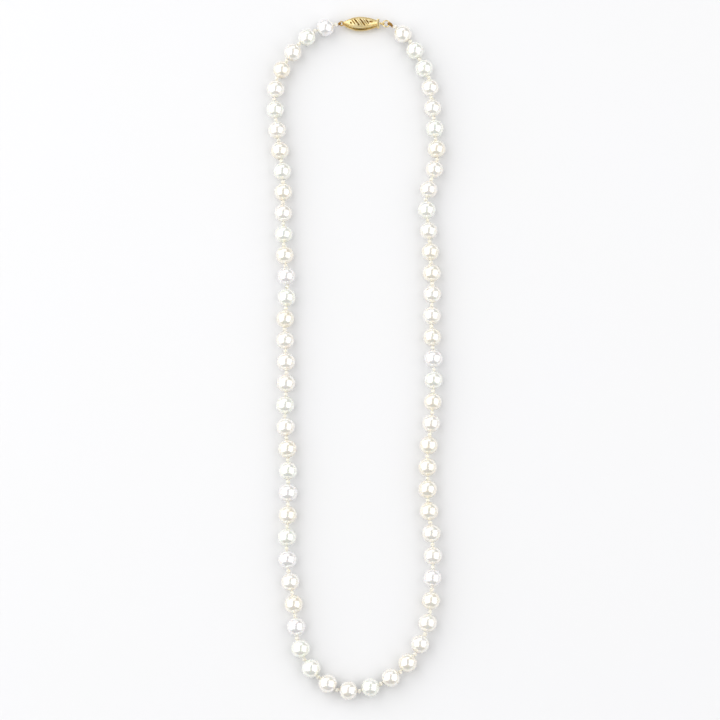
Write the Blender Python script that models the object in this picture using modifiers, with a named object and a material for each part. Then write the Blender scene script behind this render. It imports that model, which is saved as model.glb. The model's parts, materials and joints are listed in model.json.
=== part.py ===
"""Princess-length pearl necklace: a hand-knotted strand of 67 pearls closed by a fish-hook clasp.

The necklace lies flat on z = 0 in a long U. +X points to the jump ring end of the clasp,
+Y from the bottom of the loop to the clasp, +Z up. The origin is the middle of the bottom
of the whole necklace's box. All lengths are in metres.

The strand is a chain of links. A link is one pearl, or two pearls with the silk knot
between them, and it starts with a small knot ball that sits on the hinge point it shares
with the link before it. Links count from the jump ring, down one side, round the front and
up the other side to the hook.
"""
import math

import bmesh
import bpy
from mathutils import Matrix, Vector

MM = 0.001

# ---- driving dimensions -------------------------------------------------------------
PEARL_COUNT = 67
PEARL_RADIUS = 2.70 * MM
DRILL_RIM_RADIUS = 0.50 * MM  # mouth of the drilled hole
DRILL_DIMPLE = 0.25 * MM  # depth of the countersink at that mouth
KNOT_RADIUS = 0.40 * MM  # the knot ball turns on the hinge point, clear of both pearls
THREAD_RADIUS = 0.25 * MM
TURN_STEPS = 8  # sides of a turned link
PEARL_BANDS = 6  # bands from one drill mouth of a pearl to the other

# (number of links, pearls in each) from the jump ring round to the hook
LINK_RUNS = [(1, 1), (12, 2), (16, 1), (8, 2), (10, 1)]

# Route of the strand on the table in millimetres, from the knot at the jump ring's
# bullion to the knot at the hook's bullion.
ROUTE_MM = [
    (12.3, 100.9), (21.0, 90.3), (23.3, 75.1), (25.0, 59.9), (21.1, 44.6), (22.6, 30.5),
    (23.1, 16.4), (22.7, 2.3), (23.6, -11.8), (21.9, -26.4), (20.9, -41.0), (22.5, -55.9),
    (22.4, -71.0), (19.9, -86.0), (10.7, -97.6), (-4.0, -101.4), (-15.1, -91.5),
    (-17.6, -76.7), (-19.8, -62.3), (-19.6, -48.4), (-19.6, -34.4), (-20.7, -20.5),
    (-20.3, -6.5), (-21.0, 7.7), (-20.2, 22.2), (-21.9, 37.0), (-21.7, 52.2),
    (-24.5, 80.2), (-18.6, 93.2), (-12.6, 99.4), (-6.0, 101.6),
]
ROUTE_SAMPLES = 24  # samples between two route points

# Clasp, in its own frame: centre of the case, X along the case towards the jump ring
CLASP_CENTRE = Vector((1.8 * MM, 102.3 * MM, 1.75 * MM))
CASE_MOUTH_X = -5.3 * MM
CASE_BACK_X = 4.9 * MM
CASE_HALF_WIDTH = 2.20 * MM
CASE_MOUTH_HALF_WIDTH = 0.95 * MM
CASE_BACK_HALF_WIDTH = 1.25 * MM
CASE_TOP_RISE = 1.55 * MM
CASE_BASE_DEPTH = 1.90 * MM
CASE_END_RISE = 0.95 * MM
CASE_BELLY = 1.60 * MM  # the base is pressed flat at this depth below its rim
CASE_WALL = 0.28 * MM
SEAM_HALF_GAP = 0.15 * MM
CASE_STATIONS = 11
CASE_ARC_STEPS = 12

SLOT_WIDTH = 0.45 * MM
SLOT_LENGTH = 2.3 * MM
SLOT_PITCH = 1.15 * MM
SLOT_COUNT = 5
SLOT_ROW_X = -0.3 * MM  # middle of the row of slots
SLOT_SLANT = math.radians(35.0)
BACK_HOLE_RADIUS = 0.42 * MM
BACK_HOLE_X = 3.75 * MM

FITTING_GAP = 0.30 * MM
END_BLOCK_SIZE = (0.40 * MM, 2.50 * MM, 2.00 * MM)
EYE_RING_RADIUS = 0.60 * MM
EYE_WIRE_RADIUS = 0.18 * MM
EYE_GAP = 0.15 * MM
LINK_PLAY = 0.06 * MM  # play between two rings that hang in each other

JUMP_RING_RADIUS = 1.00 * MM
JUMP_WIRE_RADIUS = 0.18 * MM
RING_BULLION_RADIUS = 0.24 * MM
RING_LOOP_HALF_HEIGHT = 0.70 * MM
HOOK_BULLION_RADIUS = 0.17 * MM
HOOK_LOOP_HALF_HEIGHT = 0.60 * MM
HOOK_EYE_PLAY = 0.08 * MM  # play between the coiled wire and the hole it hangs in
LOOP_KNOT_GAP = 0.12 * MM  # air between a coiled loop and its silk knot
LOOP_TAPER = 0.45  # a coiled loop narrows by this share towards its knot
LOOP_RISE_SHARE = 0.8  # share of the height up to the knot that the loop itself climbs
LOOP_POINTS = 20

TONGUE_TIP_X = 2.0 * MM
TONGUE_END_X = -6.8 * MM
TONGUE_HALF_WIDTH = 0.55 * MM
TONGUE_HALF_THICK = 0.15 * MM
TONGUE_EYE_X = -6.0 * MM
TONGUE_EYE_HOLE = 0.50 * MM
TONGUE_EYE_OUTER = 0.80 * MM
BARB_DROP = 0.30 * MM
BARB_RAKE = 0.10 * MM  # the barb's foot lies this far behind its crest
TONGUE_EYE_OPEN = math.radians(44.0)  # half of the eye's ring that the tongue takes up

LEAF_HINGE_X = -0.6 * MM
LEAF_UNDER = 0.42 * MM
LEAF_THICK = 0.18 * MM
LEAF_HALF_WIDTH = 0.45 * MM
LEAF_LIP_X = -5.75 * MM
LEAF_LIP_TOP = 0.85 * MM
LEAF_TAIL = 0.30 * MM  # the leaf runs on past its hinge line
LEAF_LIP_FOOT = 0.35 * MM
LEAF_LIP_WIDTH = 0.20 * MM
LEAF_LIP_RAKE = 0.10 * MM

BAR_X = 1.2 * MM
BAR_Z = -0.75 * MM
BAR_RADIUS = 0.20 * MM
BAR_HALF_LENGTH = 1.40 * MM

GOLD = (0.86, 0.62, 0.24, 1.0)
GOLD_WIRE = (0.55, 0.36, 0.12, 1.0)
NACRE = (0.90, 0.89, 0.84, 1.0)
SILK = (0.80, 0.74, 0.62, 1.0)


# ---- scene, materials and small helpers ---------------------------------------------
def clear_scene():
    for old in list(bpy.data.objects):
        bpy.data.objects.remove(old, do_unlink=True)


def new_collection(name):
    made = bpy.data.collections.new(name)
    bpy.context.scene.collection.children.link(made)
    return made


def make_material(name, colour, roughness, metallic):
    made = bpy.data.materials.new(name)
    made.use_nodes = True
    shader = made.node_tree.nodes["Principled BSDF"]
    shader.inputs["Base Color"].default_value = colour
    shader.inputs["Roughness"].default_value = roughness
    shader.inputs["Metallic"].default_value = metallic
    return made


def finish_part(part, collection, colour, roughness, metallic, parent=None):
    """Put a part in its collection with its own material, shaded smooth."""
    for holder in list(part.users_collection):
        holder.objects.unlink(part)
    collection.objects.link(part)
    part.data.materials.clear()
    part.data.materials.append(
        make_material(part.name + "_finish", colour, roughness, metallic)
    )
    part.parent = parent
    if part.type == "MESH":
        part.data.shade_smooth()
        part.data.set_sharp_from_angle(angle=math.radians(40.0))
    return part


def mesh_object(name, vertices, faces=(), edges=()):
    data = bpy.data.meshes.new(name)
    data.from_pydata(vertices, edges, faces)
    made = bpy.data.objects.new(name, data)
    bpy.context.scene.collection.objects.link(made)
    return made


def outline_plate(name, outline, half_thickness, holes=()):
    """A flat plate: a closed 2D outline, with round holes, given a thickness."""
    data = bpy.data.curves.new(name, "CURVE")
    data.dimensions = "2D"
    data.fill_mode = "BOTH"
    data.extrude = half_thickness
    for points in [outline, *holes]:
        spline = data.splines.new("POLY")
        spline.points.add(len(points) - 1)
        for target, (x, y) in zip(spline.points, points):
            target.co = (x, y, 0.0, 1.0)
        spline.use_cyclic_u = True
    made = bpy.data.objects.new(name, data)
    bpy.context.scene.collection.objects.link(made)
    return made


def closed_wire(name, points, radius):
    """A closed loop of round wire through the points."""
    data = bpy.data.curves.new(name, "CURVE")
    data.dimensions = "3D"
    data.bevel_depth = radius
    data.bevel_resolution = 1
    data.resolution_u = 1
    data.use_fill_caps = True
    spline = data.splines.new("POLY")
    spline.points.add(len(points) - 1)
    for target, point in zip(spline.points, points):
        target.co = (*point, 1.0)
    spline.use_cyclic_u = True
    made = bpy.data.objects.new(name, data)
    bpy.context.scene.collection.objects.link(made)
    return made


def as_mesh(source):
    """Turn a curve object into a welded mesh object of the same name and place."""
    name = source.name
    bpy.context.view_layer.update()
    graph = bpy.context.evaluated_depsgraph_get()
    data = bpy.data.meshes.new_from_object(source.evaluated_get(graph))
    matrix = source.matrix_world.copy()
    bpy.data.objects.remove(source, do_unlink=True)
    made = bpy.data.objects.new(name, data)
    bpy.context.scene.collection.objects.link(made)
    made.matrix_world = matrix
    shell = bmesh.new()
    shell.from_mesh(data)
    bmesh.ops.remove_doubles(shell, verts=shell.verts, dist=0.001 * MM)
    shell.to_mesh(data)
    shell.free()
    return made


def cut(part, cutter, cutters):
    """Take a cutter's volume out of a part."""
    for holder in list(cutter.users_collection):
        holder.objects.unlink(cutter)
    cutters.objects.link(cutter)
    cutter.hide_render = True
    cutter.display_type = "WIRE"
    boolean = part.modifiers.new(cutter.name, "BOOLEAN")
    boolean.operation = "DIFFERENCE"
    boolean.solver = "EXACT"
    boolean.object = cutter


def circle_points(centre_x, centre_y, radius, count, phase=0.0):
    return [
        (
            centre_x + radius * math.cos(phase + 2.0 * math.pi * i / count),
            centre_y + radius * math.sin(phase + 2.0 * math.pi * i / count),
        )
        for i in range(count)
    ]


# ---- the strand ---------------------------------------------------------------------
def smooth_route(points, samples):
    """Points along a Catmull-Rom curve through the given points."""
    first = points[0] * 2.0 - points[1]
    last = points[-1] * 2.0 - points[-2]
    line = [first, *points, last]
    curve = []
    for a, b, c, d in zip(line, line[1:], line[2:], line[3:]):
        for i in range(samples):
            t = i / samples
            curve.append(
                0.5
                * (
                    2.0 * b
                    + (c - a) * t
                    + (2.0 * a - 5.0 * b + 4.0 * c - d) * t**2
                    + (3.0 * b - a - 3.0 * c + d) * t**3
                )
            )
    curve.append(points[-1])
    return curve


def point_at(curve, distance):
    """The point at a distance along a curve of close samples."""
    for a, b in zip(curve, curve[1:]):
        step = (b - a).length
        if distance <= step:
            return a.lerp(b, distance / step)
        distance -= step
    return curve[-1]


def strand_knots():
    """The hinge points from the jump ring's knot to the hook's knot."""
    route = [Vector((x * MM, y * MM, PEARL_RADIUS)) for x, y in ROUTE_MM]
    curve = smooth_route(route, ROUTE_SAMPLES)
    length = sum((b - a).length for a, b in zip(curve, curve[1:]))
    pitch = length / PEARL_COUNT
    return [point_at(curve, pitch * i) for i in range(PEARL_COUNT + 1)]


def pearl_arc(centre, top_radius, bottom_radius):
    """A pearl's half outline from its upper mouth to its lower one, as (x, z) points."""
    top = math.asin(top_radius / PEARL_RADIUS)
    bottom = math.pi - math.asin(bottom_radius / PEARL_RADIUS)
    half = PEARL_BANDS // 2
    angles = [top + (math.pi / 2.0 - top) * i / half for i in range(half)]
    angles += [math.pi / 2.0 + (bottom - math.pi / 2.0) * i / half for i in range(half + 1)]
    return [
        (PEARL_RADIUS * math.sin(angle), centre + PEARL_RADIUS * math.cos(angle))
        for angle in angles
    ]


def knot_shoulder():
    """Height above a knot's centre where the thread leaves the ball."""
    return math.sqrt(KNOT_RADIUS**2 - THREAD_RADIUS**2)


def link_profile(pearls, pitch):
    """Half outline of a link from its far drill mouth down to its own knot ball."""
    points = []
    for i in reversed(range(pearls)):
        centre = pitch * (i + 0.5)
        is_far_pearl = i == pearls - 1
        mouth = DRILL_RIM_RADIUS if is_far_pearl else THREAD_RADIUS
        if is_far_pearl:
            rim = centre + math.sqrt(PEARL_RADIUS**2 - DRILL_RIM_RADIUS**2)
            points.append((0.0, rim - DRILL_DIMPLE))
        points += pearl_arc(centre, mouth, THREAD_RADIUS)
        knot = pitch * i
        points.append((THREAD_RADIUS, knot + knot_shoulder()))
        points.append((KNOT_RADIUS, knot))
        if i > 0:
            points.append((THREAD_RADIUS, knot - knot_shoulder()))
    slope = math.radians(45.0)
    points.append((KNOT_RADIUS * math.cos(slope), -KNOT_RADIUS * math.sin(slope)))
    points.append((0.0, -KNOT_RADIUS))
    return points


def turned(name, profile, steps):
    """A solid turned about Z from a profile at +X that runs from top to bottom."""
    vertices = [(x, 0.0, z) for x, z in profile]
    edges = [(i, i + 1) for i in range(len(vertices) - 1)]
    part = mesh_object(name, vertices, edges=edges)
    screw = part.modifiers.new("turn", "SCREW")
    screw.axis = "Z"
    screw.steps = steps
    screw.render_steps = steps
    screw.use_merge_vertices = True
    screw.merge_threshold = 0.01 * MM
    return part


def link_name(first, count):
    if count == 1:
        return f"pearl_{first:02d}"
    return f"pearls_{first:02d}_{first + count - 1:02d}"


def link_sizes():
    """The number of pearls in each link, in order."""
    sizes = []
    for links, pearls in LINK_RUNS:
        sizes += [pearls] * links
    return sizes


def build_strand(collection):
    knots = strand_knots()
    first = 1
    for count in link_sizes():
        start = knots[first - 1]
        end = knots[first - 1 + count]
        pitch = (end - start).length / count
        part = turned(link_name(first, count), link_profile(count, pitch), TURN_STEPS)
        along = (end - start).normalized()
        up = Vector((0.0, 0.0, 1.0))
        side = along.cross(up)
        part.matrix_world = Matrix.Translation(start) @ Matrix(
            (
                (up.x, side.x, along.x),
                (up.y, side.y, along.y),
                (up.z, side.z, along.z),
            )
        ).to_4x4()
        finish_part(part, collection, NACRE, 0.22, 0.0)
        first += count

    bpy.ops.mesh.primitive_uv_sphere_add(
        segments=8, ring_count=4, radius=KNOT_RADIUS, location=knots[-1]
    )
    end_knot = bpy.context.active_object
    end_knot.name = "end_knot"
    finish_part(end_knot, collection, SILK, 0.8, 0.0)


# ---- the clasp ----------------------------------------------------------------------
def case_share(x):
    """How far the case has swelled at x: 0 at both ends, 1 in the middle."""
    middle = (CASE_MOUTH_X + CASE_BACK_X) / 2.0
    half = (CASE_BACK_X - CASE_MOUTH_X) / 2.0
    return 1.0 - ((x - middle) / half) ** 2


def case_section(x, depth):
    """Half width and rise of the case's section at x."""
    along = (x - CASE_MOUTH_X) / (CASE_BACK_X - CASE_MOUTH_X)
    end_width = CASE_MOUTH_HALF_WIDTH + (CASE_BACK_HALF_WIDTH - CASE_MOUTH_HALF_WIDTH) * along
    share = case_share(x)
    width = end_width + (CASE_HALF_WIDTH - end_width) * share
    rise = CASE_END_RISE + (depth - CASE_END_RISE) * share
    return width, rise


def case_shell(name, side, depth, belly):
    """Half of the case: an open, swelled sheet given the wall's thickness inwards."""
    vertices = []
    for i in range(CASE_STATIONS):
        x = CASE_MOUTH_X + (CASE_BACK_X - CASE_MOUTH_X) * i / (CASE_STATIONS - 1)
        width, rise = case_section(x, depth)
        for j in range(CASE_ARC_STEPS + 1):
            angle = math.pi * j / CASE_ARC_STEPS
            height = min(rise * math.sin(angle), belly)
            z = side * (SEAM_HALF_GAP + height)
            vertices.append((x, side * width * math.cos(angle), z))
    row = CASE_ARC_STEPS + 1
    faces = [
        (i * row + j, i * row + j + 1, (i + 1) * row + j + 1, (i + 1) * row + j)
        for i in range(CASE_STATIONS - 1)
        for j in range(CASE_ARC_STEPS)
    ]
    part = mesh_object(name, vertices, faces)
    wall = part.modifiers.new("wall", "SOLIDIFY")
    wall.thickness = CASE_WALL
    wall.offset = -1.0
    return part


def slot_cutter(name, x):
    """A slanted slot with round ends that passes through the top of the case."""
    half = SLOT_WIDTH / 2.0
    run = SLOT_LENGTH / 2.0 - half
    quarter = math.pi / 2.0
    outline = [
        (half * math.cos(a * quarter / 2.0), run + half * math.sin(a * quarter / 2.0))
        for a in range(5)
    ]
    outline += [(-px, -py) for px, py in outline]
    made = as_mesh(outline_plate(name, outline, CASE_TOP_RISE))
    made.location = (x, 0.0, SEAM_HALF_GAP + CASE_TOP_RISE)
    made.rotation_euler = (0.0, 0.0, SLOT_SLANT)
    return made


def build_case(parts, cutters, clasp):
    top = case_shell("case_top", 1.0, CASE_TOP_RISE, CASE_TOP_RISE)
    for i in range(SLOT_COUNT):
        x = SLOT_ROW_X + SLOT_PITCH * (i - (SLOT_COUNT - 1) / 2.0)
        cutter = slot_cutter(f"slot_cutter_{i + 1}", x)
        cut(top, cutter, cutters)
        cutter.parent = clasp
    bpy.ops.mesh.primitive_cylinder_add(
        vertices=12,
        radius=BACK_HOLE_RADIUS,
        depth=CASE_TOP_RISE * 2.0,
        location=(BACK_HOLE_X, 0.0, SEAM_HALF_GAP + CASE_TOP_RISE),
    )
    hole = bpy.context.active_object
    hole.name = "back_hole_cutter"
    cut(top, hole, cutters)
    hole.parent = clasp
    finish_part(top, parts, GOLD, 0.2, 1.0, clasp)

    base = case_shell("case_base", -1.0, CASE_BASE_DEPTH, CASE_BELLY)
    finish_part(base, parts, GOLD, 0.2, 1.0, clasp)

    block_x = CASE_BACK_X + FITTING_GAP + END_BLOCK_SIZE[0] / 2.0
    bpy.ops.mesh.primitive_cube_add(size=1.0)
    block = bpy.context.active_object
    block.name = "case_end_block"
    block.data.transform(Matrix.Diagonal((*END_BLOCK_SIZE, 1.0)))
    block.location = (block_x, 0.0, 0.0)
    rounding = block.modifiers.new("rounding", "BEVEL")
    rounding.width = 0.08 * MM
    rounding.segments = 1
    finish_part(block, parts, GOLD, 0.2, 1.0, clasp)

    bpy.ops.mesh.primitive_cylinder_add(
        vertices=8, radius=BAR_RADIUS, depth=BAR_HALF_LENGTH * 2.0
    )
    bar = bpy.context.active_object
    bar.name = "catch_bar"
    bar.location = (BAR_X, 0.0, BAR_Z)
    bar.rotation_euler = (math.pi / 2.0, 0.0, 0.0)
    finish_part(bar, parts, GOLD, 0.25, 1.0, clasp)
    return block_x + END_BLOCK_SIZE[0] / 2.0


def ring(name, centre_x, radius, wire_radius, segments, upright, parts, clasp):
    """A closed ring, lying flat or upright in the plane of the clasp's length."""
    bpy.ops.mesh.primitive_torus_add(
        major_radius=radius,
        minor_radius=wire_radius,
        major_segments=segments,
        minor_segments=8,
    )
    made = bpy.context.active_object
    made.name = name
    made.data.name = name
    if upright:
        made.data.transform(Matrix.Rotation(math.pi / 2.0, 4, "X"))
    made.location = (centre_x, 0.0, 0.0)
    return finish_part(made, parts, GOLD, 0.18, 1.0, clasp)


def bullion_loop(name, wire_x, knot_x, knot_y, half_height, wire_radius, parts, clasp):
    """A loop of coiled French wire, upright, round a ring at wire_x and closed at the knot.

    The loop's plane leans from the ring it hangs in up to the knot.
    """
    rise = PEARL_RADIUS - CLASP_CENTRE.z
    reach = abs(knot_x - wire_x) - KNOT_RADIUS - wire_radius - LOOP_KNOT_GAP
    toward = math.copysign(1.0, knot_x - wire_x)
    points = []
    for i in range(LOOP_POINTS):
        angle = 2.0 * math.pi * i / LOOP_POINTS
        along = (1.0 - math.cos(angle)) / 2.0
        lean = along**3
        height = half_height * math.sin(angle) * (1.0 - LOOP_TAPER * along**2)
        points.append(
            (
                wire_x + toward * reach * along,
                knot_y * lean,
                height + rise * LOOP_RISE_SHARE * lean,
            )
        )
    made = closed_wire(name, points, wire_radius)
    return finish_part(made, parts, GOLD_WIRE, 0.45, 1.0, clasp)


def build_hook(parts, clasp):
    """The tongue that slides into the case, with its eye outside and its barb inside."""
    eye_arc = 2.0 * (math.pi - TONGUE_EYE_OPEN)
    outer = [
        (TONGUE_EYE_X + TONGUE_EYE_OUTER * math.cos(a), TONGUE_EYE_OUTER * math.sin(a))
        for a in [TONGUE_EYE_OPEN + eye_arc * i / 12.0 for i in range(13)]
    ]
    outline = [*outer, (TONGUE_TIP_X, -TONGUE_HALF_WIDTH), (TONGUE_TIP_X, TONGUE_HALF_WIDTH)]
    hole = circle_points(TONGUE_EYE_X, 0.0, TONGUE_EYE_HOLE, 12, math.radians(15.0))
    tongue = as_mesh(outline_plate("hook_tongue", outline, TONGUE_HALF_THICK, [hole]))

    shell = bmesh.new()
    shell.from_mesh(tongue.data)
    low = [v for v in shell.verts if v.co.x > TONGUE_TIP_X - 0.01 * MM and v.co.z < 0.0]
    for vertex in low:
        vertex.co.z -= BARB_DROP
        vertex.co.x -= BARB_RAKE
    shell.to_mesh(tongue.data)
    shell.free()
    finish_part(tongue, parts, GOLD, 0.2, 1.0, clasp)

    under = LEAF_UNDER
    over = LEAF_UNDER + LEAF_THICK
    outline = [
        (LEAF_HINGE_X + LEAF_TAIL, under),
        (LEAF_HINGE_X + LEAF_TAIL, over),
        (LEAF_LIP_X + LEAF_LIP_FOOT, over),
        (LEAF_LIP_X + LEAF_LIP_WIDTH, LEAF_LIP_TOP),
        (LEAF_LIP_X, LEAF_LIP_TOP),
        (LEAF_LIP_X + LEAF_LIP_RAKE, under),
    ]
    origin_z = (under + over) / 2.0
    outline = [(x - LEAF_HINGE_X, z - origin_z) for x, z in outline]
    leaf = as_mesh(outline_plate("thumb_leaf", outline, LEAF_HALF_WIDTH))
    leaf.data.transform(Matrix.Rotation(math.pi / 2.0, 4, "X"))
    leaf.location = (LEAF_HINGE_X, 0.0, origin_z)
    finish_part(leaf, parts, GOLD, 0.2, 1.0, clasp)


def build_clasp(parts, cutters):
    clasp = bpy.data.objects.new("clasp_frame", None)
    bpy.context.scene.collection.objects.link(clasp)
    clasp.location = CLASP_CENTRE

    block_face = build_case(parts, cutters, clasp)
    build_hook(parts, clasp)

    eye_x = block_face + EYE_GAP + EYE_RING_RADIUS + EYE_WIRE_RADIUS
    ring("case_eye", eye_x, EYE_RING_RADIUS, EYE_WIRE_RADIUS, 12, True, parts, clasp)
    contact = eye_x + EYE_RING_RADIUS - EYE_WIRE_RADIUS - LINK_PLAY - JUMP_WIRE_RADIUS
    jump_x = contact + JUMP_RING_RADIUS
    ring("jump_ring", jump_x, JUMP_RING_RADIUS, JUMP_WIRE_RADIUS, 16, False, parts, clasp)

    first_knot = Vector((*ROUTE_MM[0], 0.0)) * MM - CLASP_CENTRE
    last_knot = Vector((*ROUTE_MM[-1], 0.0)) * MM - CLASP_CENTRE
    ring_wire_x = jump_x + JUMP_RING_RADIUS
    bullion_loop(
        "ring_bullion",
        ring_wire_x - JUMP_WIRE_RADIUS - LINK_PLAY - RING_BULLION_RADIUS,
        first_knot.x,
        first_knot.y,
        RING_LOOP_HALF_HEIGHT,
        RING_BULLION_RADIUS,
        parts,
        clasp,
    )
    hole_edge = TONGUE_EYE_X - TONGUE_EYE_HOLE
    bullion_loop(
        "hook_bullion",
        hole_edge + HOOK_EYE_PLAY + HOOK_BULLION_RADIUS,
        last_knot.x,
        last_knot.y,
        HOOK_LOOP_HALF_HEIGHT,
        HOOK_BULLION_RADIUS,
        parts,
        clasp,
    )


def main():
    clear_scene()
    parts = new_collection("pearl_necklace")
    cutters = new_collection("cutters")
    build_clasp(parts, cutters)
    build_strand(parts)


main()
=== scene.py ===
"""Looks for the pearl necklace: nacre, knotted silk and a gold fish-hook clasp.

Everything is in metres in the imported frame. The pearls are laid along the strand's route,
and the fittings are placed from the boxes of their CAD nodes.
"""
from __future__ import annotations

import json
import logging
import math
import random
from collections.abc import Callable, Sequence
from dataclasses import dataclass, field
from enum import Enum
from typing import Any

import bmesh
import bpy
from mathutils import Matrix, Vector


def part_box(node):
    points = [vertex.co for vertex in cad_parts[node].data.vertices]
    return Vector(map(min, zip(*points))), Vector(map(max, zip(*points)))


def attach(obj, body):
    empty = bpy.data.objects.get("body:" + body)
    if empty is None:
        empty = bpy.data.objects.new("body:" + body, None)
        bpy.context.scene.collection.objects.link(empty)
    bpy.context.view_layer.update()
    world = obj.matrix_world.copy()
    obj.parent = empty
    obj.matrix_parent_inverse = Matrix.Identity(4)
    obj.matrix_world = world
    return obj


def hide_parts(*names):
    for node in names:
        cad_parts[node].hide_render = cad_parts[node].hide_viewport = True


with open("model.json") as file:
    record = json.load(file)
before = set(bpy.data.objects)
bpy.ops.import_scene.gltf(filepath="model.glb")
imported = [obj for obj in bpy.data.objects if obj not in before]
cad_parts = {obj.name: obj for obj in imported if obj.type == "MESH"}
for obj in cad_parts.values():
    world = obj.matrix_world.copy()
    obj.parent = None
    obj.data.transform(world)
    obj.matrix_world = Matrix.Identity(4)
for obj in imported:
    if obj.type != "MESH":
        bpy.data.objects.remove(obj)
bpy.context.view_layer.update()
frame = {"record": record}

LOG = logging.getLogger("necklace")
MM = 0.001
UP = Vector((0.0, 0.0, 1.0))

Ring = list[Vector]
Faces = list[tuple[int, ...]]
Skin = tuple[Ring, Faces]


# ---- colour and nodes ---------------------------------------------------------------
def linear(hex_code: str, alpha: float = 1.0) -> tuple[float, float, float, float]:
    """Turn an sRGB hex colour into linear light.

    Args:
        hex_code: Six hex digits, such as "E9C46A".
        alpha: Opacity kept as it is.

    Returns:
        Linear red, green, blue and alpha.
    """
    channels = [int(hex_code[i : i + 2], 16) / 255.0 for i in (0, 2, 4)]
    red, green, blue = (
        c / 12.92 if c <= 0.04045 else ((c + 0.055) / 1.055) ** 2.4 for c in channels
    )
    return red, green, blue, alpha


def add_node(
    tree: bpy.types.NodeTree,
    kind: str,
    settings: dict[str, Any] | None = None,
    inputs: dict[str | int, Any] | None = None,
) -> bpy.types.Node:
    """Add one shader node with its settings and links.

    Args:
        tree: The node tree it goes in.
        kind: The node's type name without the ShaderNode prefix.
        settings: Attributes of the node.
        inputs: Values or output sockets for its inputs, by name or number.

    Returns:
        The new node.
    """
    node = tree.nodes.new("ShaderNode" + kind)
    for key, value in (settings or {}).items():
        setattr(node, key, value)
    for key, value in (inputs or {}).items():
        if isinstance(value, bpy.types.NodeSocket):
            tree.links.new(value, node.inputs[key])
        else:
            node.inputs[key].default_value = value
    return node


def new_material(
    name: str, inputs: dict[str, Any]
) -> tuple[bpy.types.Material, bpy.types.NodeTree, bpy.types.Node]:
    """Make a material with a Principled shader and set its sockets.

    Args:
        name: The material's name.
        inputs: Constant values for the shader's sockets.

    Returns:
        The material, its node tree and the shader node.
    """
    made = bpy.data.materials.new(name)
    made.use_nodes = True
    shader = made.node_tree.nodes["Principled BSDF"]
    for key, value in inputs.items():
        shader.inputs[key].default_value = value
    return made, made.node_tree, shader


# ---- finishes -----------------------------------------------------------------------
# Every MapRange node below is given, in order, its value, the range that the value has
# and the range that it gets.
COLOUR_MIX = {"data_type": "RGBA"}


class Overtone(Enum):
    """Body colours of white cultured pearls: light part, shaded part, ripple part."""

    IVORY = ("F9F6F0", "F4EEE3", "FBFAF6")
    CREAM = ("F8F4EA", "F3EBDA", "FBF8F1")
    GREENISH = ("F7F7F1", "F0F1E6", "FAFBF6")
    SILVER = ("F6F4F3", "EFECEA", "FAF9F8")


@dataclass(frozen=True)
class Nacre:
    """Nacre of a cultured pearl, tumble polished.

    Thin crystal layers over a bead give a deep soft gloss: a sharp skin reflection over a
    milky body that lets a little light through, with faint ripples and a few pits. The
    metallic share stands for the strong reflection of the stacked layers.
    """

    tone: Overtone
    layer_share: float = 0.46
    blotch_mm: float = 2.2
    ripple_mm: float = 0.45
    pit_mm: float = 0.7
    roughness: tuple[float, float] = (0.14, 0.24)

    def build(self) -> bpy.types.Material:
        """Make the material.

        Returns:
            The material.
        """
        light, shade, ripple = self.tone.value
        made, tree, shader = new_material(
            f"nacre_polished_{self.tone.name.lower()}",
            {
                "Metallic": self.layer_share,
                "IOR": 1.6,
                "Subsurface Weight": 0.22,
                "Subsurface Radius": (1.0, 0.82, 0.62),
                "Subsurface Scale": 0.9 * MM,
                "Coat Weight": 1.0,
                "Coat Roughness": 0.09,
                "Coat IOR": 1.6,
            },
        )
        place = add_node(tree, "TexCoord").outputs["Object"]
        blotch = add_node(
            tree,
            "TexNoise",
            inputs={"Vector": place, "Scale": 1.0 / (self.blotch_mm * MM), "Detail": 3.0},
        ).outputs["Fac"]
        squeezed = add_node(
            tree, "Mapping", inputs={"Vector": place, "Scale": (0.35, 0.35, 1.6)}
        ).outputs["Vector"]
        rings = add_node(
            tree,
            "TexNoise",
            inputs={
                "Vector": squeezed,
                "Scale": 1.0 / (self.ripple_mm * MM),
                "Detail": 2.0,
                "Roughness": 0.4,
            },
        ).outputs["Fac"]
        pits = add_node(
            tree, "TexVoronoi", inputs={"Vector": place, "Scale": 1.0 / (self.pit_mm * MM)}
        ).outputs["Distance"]
        cloudy = add_node(
            tree, "MapRange", inputs=dict(enumerate((blotch, 0.35, 0.68, 0.0, 1.0)))
        ).outputs[0]
        body = add_node(
            tree, "Mix", COLOUR_MIX, {0: cloudy, 6: linear(light), 7: linear(shade)}
        ).outputs[2]
        rippled = add_node(
            tree, "MapRange", inputs=dict(enumerate((rings, 0.45, 0.75, 0.0, 0.5)))
        ).outputs[0]
        veil = add_node(
            tree, "Mix", COLOUR_MIX, {0: rippled, 6: body, 7: linear(ripple)}
        ).outputs[2]
        tree.links.new(veil, shader.inputs["Base Color"])
        gloss = add_node(
            tree, "MapRange", inputs=dict(enumerate((blotch, 0.3, 0.7, *self.roughness)))
        ).outputs[0]
        tree.links.new(gloss, shader.inputs["Roughness"])
        pitted = add_node(
            tree, "MapRange", inputs=dict(enumerate((pits, 0.02, 0.12, 0.0, 0.35)))
        ).outputs[0]
        ridged = add_node(
            tree, "MapRange", inputs=dict(enumerate((rings, 0.2, 0.8, 0.0, 1.0)))
        ).outputs[0]
        height = add_node(
            tree, "Math", {"operation": "ADD"}, {0: pitted, 1: ridged}
        ).outputs[0]
        bump = add_node(
            tree,
            "Bump",
            inputs={"Height": height, "Strength": 0.35, "Distance": 0.012 * MM},
        )
        tree.links.new(bump.outputs["Normal"], shader.inputs["Normal"])
        return made


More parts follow.
